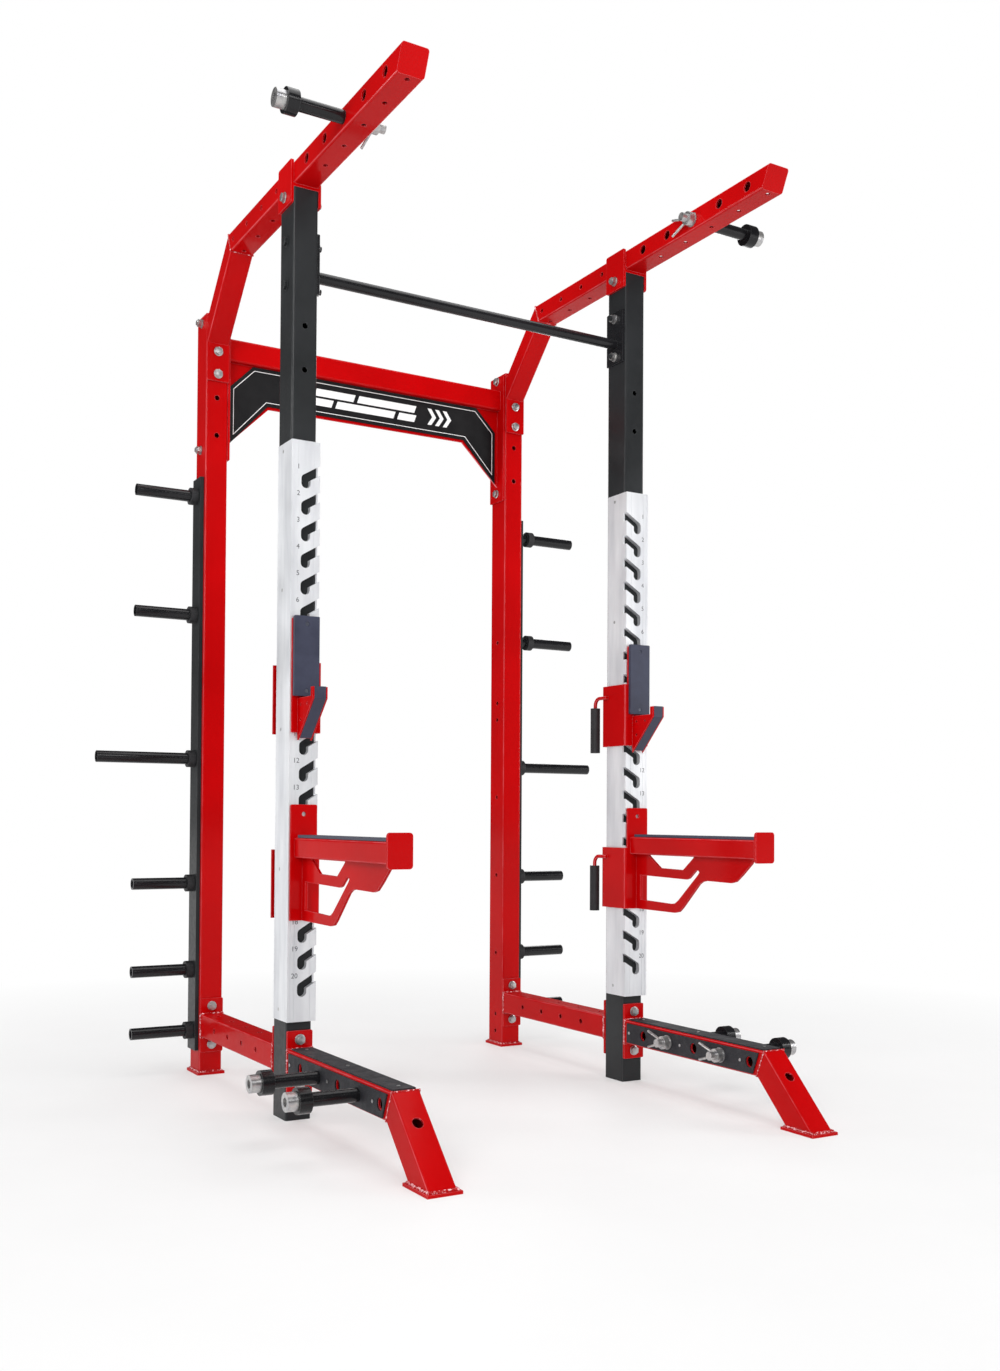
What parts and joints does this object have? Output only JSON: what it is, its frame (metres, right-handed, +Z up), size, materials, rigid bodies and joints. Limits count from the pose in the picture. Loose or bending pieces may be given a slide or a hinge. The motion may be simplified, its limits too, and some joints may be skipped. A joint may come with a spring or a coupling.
{
  "type": "power cage",
  "caption": "Free-standing steel power cage with slotted front uprights, lift-in bar cups and spotter arms, overhead arms, pull-up bar and plate storage.",
  "frame": {"origin": "on the floor in the middle of the whole footprint", "axes": "+Z up, +X to the right as seen from the front, front at -Y"},
  "size_m": [1.9194, 1.7804, 2.746],
  "materials": {
    "red_coat": "gloss powder coat",
    "black_coat": "satin powder coat",
    "brushed_cover": "brushed",
    "zinc_steel": "bright zinc plate",
    "nylon_black": "satin machined plastic",
    "grip_rubber": "matt grip rubber",
    "foot_rubber": "textured grip sheet",
    "sign_face": "satin printed panel"
  },
  "bodies": {
    "frame": {"front_upright_left": "black_coat", "slot_cover_left": "brushed_cover", "rear_upright_left": "red_coat", "base_tube_left": "red_coat", "top_arm_left": "red_coat", "foot_left": "red_coat", "arm_brace_left": "red_coat", "foot_leg_left": "red_coat", "front_upright_right": "black_coat", "slot_cover_right": "brushed_cover", "rear_upright_right": "red_coat", "base_tube_right": "red_coat", "top_arm_right": "red_coat", "foot_right": "red_coat", "arm_brace_right": "red_coat", "foot_leg_right": "red_coat", "pull_up_bar": "black_coat", "crossmember": "red_coat", "sign_panel": "sign_face", "foot_pads": "foot_rubber", "storage_rails": "black_coat", "storage_sleeves": "black_coat", "storage_collars": "grip_rubber", "upright_caps": "red_coat", "frame_bolts": "zinc_steel", "frame_nuts": "zinc_steel", "bar_bolts": "black_coat", "cover_screws": "zinc_steel", "pad_screws": "zinc_steel", "band_shafts": "zinc_steel", "band_sleeves": "black_coat"},
    "cup_left": {"cup_bracket_left": "red_coat", "cup_pad_left": "nylon_black", "cup_liner_left": "nylon_black", "cup_grip_left": "grip_rubber", "cup_screws_left": "zinc_steel"},
    "spotter_left": {"spotter_bracket_left": "red_coat", "spotter_strip_left": "nylon_black", "spotter_grip_left": "grip_rubber"},
    "cup_right": {"cup_bracket_right": "red_coat", "cup_pad_right": "nylon_black", "cup_liner_right": "nylon_black", "cup_grip_right": "grip_rubber", "cup_screws_right": "zinc_steel"},
    "spotter_right": {"spotter_bracket_right": "red_coat", "spotter_strip_right": "nylon_black", "spotter_grip_right": "grip_rubber"},
    "nut_washer_arm_left": {"nut_washer_arm_left": "zinc_steel"},
    "wing_nut_arm_left": {"wing_nut_arm_left": "zinc_steel"},
    "nut_washer_arm_right": {"nut_washer_arm_right": "zinc_steel"},
    "wing_nut_arm_right": {"wing_nut_arm_right": "zinc_steel"},
    "nut_washer_rear_left": {"nut_washer_rear_left": "zinc_steel"},
    "wing_nut_rear_left": {"wing_nut_rear_left": "zinc_steel"},
    "nut_washer_rear_right": {"nut_washer_rear_right": "zinc_steel"},
    "wing_nut_rear_right": {"wing_nut_rear_right": "zinc_steel"},
    "nut_washer_front_left": {"nut_washer_front_left": "zinc_steel"},
    "wing_nut_front_left": {"wing_nut_front_left": "zinc_steel"},
    "nut_washer_front_right": {"nut_washer_front_right": "zinc_steel"},
    "wing_nut_front_right": {"wing_nut_front_right": "zinc_steel"}
  },
  "joints": [
    {"name": "cup_lift_left", "type": "slide", "parent": "frame", "child": "cup_left", "axis": [0, 0, 1], "range_m": [0, 0.015]},
    {"name": "spotter_lift_left", "type": "slide", "parent": "frame", "child": "spotter_left", "axis": [0, 0, 1], "range_m": [0, 0.015]},
    {"name": "cup_lift_right", "type": "slide", "parent": "frame", "child": "cup_right", "axis": [0, 0, 1], "range_m": [0, 0.015]},
    {"name": "spotter_lift_right", "type": "slide", "parent": "frame", "child": "spotter_right", "axis": [0, 0, 1], "range_m": [0, 0.015]},
    {"name": "washer_travel_arm_left", "type": "slide", "parent": "frame", "child": "nut_washer_arm_left", "axis": [1, 0, 0], "range_m": [0, 0.0128]},
    {"name": "nut_turn_arm_left", "type": "hinge", "parent": "nut_washer_arm_left", "child": "wing_nut_arm_left", "pos_m": [-0.5425, -0.3531, 2.70775], "axis": [1, 0, 0], "range_deg": [0, 1440]},
    {"name": "washer_travel_arm_right", "type": "slide", "parent": "frame", "child": "nut_washer_arm_right", "axis": [-1, 0, 0], "range_m": [0, 0.0128]},
    {"name": "nut_turn_arm_right", "type": "hinge", "parent": "nut_washer_arm_right", "child": "wing_nut_arm_right", "pos_m": [0.5425, -0.3531, 2.70775], "axis": [-1, 0, 0], "range_deg": [0, 1440]},
    {"name": "washer_travel_rear_left", "type": "slide", "parent": "frame", "child": "nut_washer_rear_left", "axis": [1, 0, 0], "range_m": [0, 0.0128]},
    {"name": "nut_turn_rear_left", "type": "hinge", "parent": "nut_washer_rear_left", "child": "wing_nut_rear_left", "pos_m": [-0.5385, -0.2471, 0.1651], "axis": [1, 0, 0], "range_deg": [0, 1440]},
    {"name": "washer_travel_rear_right", "type": "slide", "parent": "frame", "child": "nut_washer_rear_right", "axis": [-1, 0, 0], "range_m": [0, 0.0128]},
    {"name": "nut_turn_rear_right", "type": "hinge", "parent": "nut_washer_rear_right", "child": "wing_nut_rear_right", "pos_m": [0.5385, -0.2471, 0.1651], "axis": [-1, 0, 0], "range_deg": [0, 1440]},
    {"name": "washer_travel_front_left", "type": "slide", "parent": "frame", "child": "nut_washer_front_left", "axis": [1, 0, 0], "range_m": [0, 0.0128]},
    {"name": "nut_turn_front_left", "type": "hinge", "parent": "nut_washer_front_left", "child": "wing_nut_front_left", "pos_m": [-0.5385, -0.5011, 0.1651], "axis": [1, 0, 0], "range_deg": [0, 1440]},
    {"name": "washer_travel_front_right", "type": "slide", "parent": "frame", "child": "nut_washer_front_right", "axis": [-1, 0, 0], "range_m": [0, 0.0128]},
    {"name": "nut_turn_front_right", "type": "hinge", "parent": "nut_washer_front_right", "child": "wing_nut_front_right", "pos_m": [0.5385, -0.5011, 0.1651], "axis": [-1, 0, 0], "range_deg": [0, 1440]}
  ],
  "couplings": [
    {"joint": "washer_travel_arm_left", "follows": "nut_turn_arm_left", "m_per_rad": 0.000505},
    {"joint": "washer_travel_arm_right", "follows": "nut_turn_arm_right", "m_per_rad": 0.000505},
    {"joint": "washer_travel_rear_left", "follows": "nut_turn_rear_left", "m_per_rad": 0.000505},
    {"joint": "washer_travel_rear_right", "follows": "nut_turn_rear_right", "m_per_rad": 0.000505},
    {"joint": "washer_travel_front_left", "follows": "nut_turn_front_left", "m_per_rad": 0.000505},
    {"joint": "washer_travel_front_right", "follows": "nut_turn_front_right", "m_per_rad": 0.000505}
  ]
}
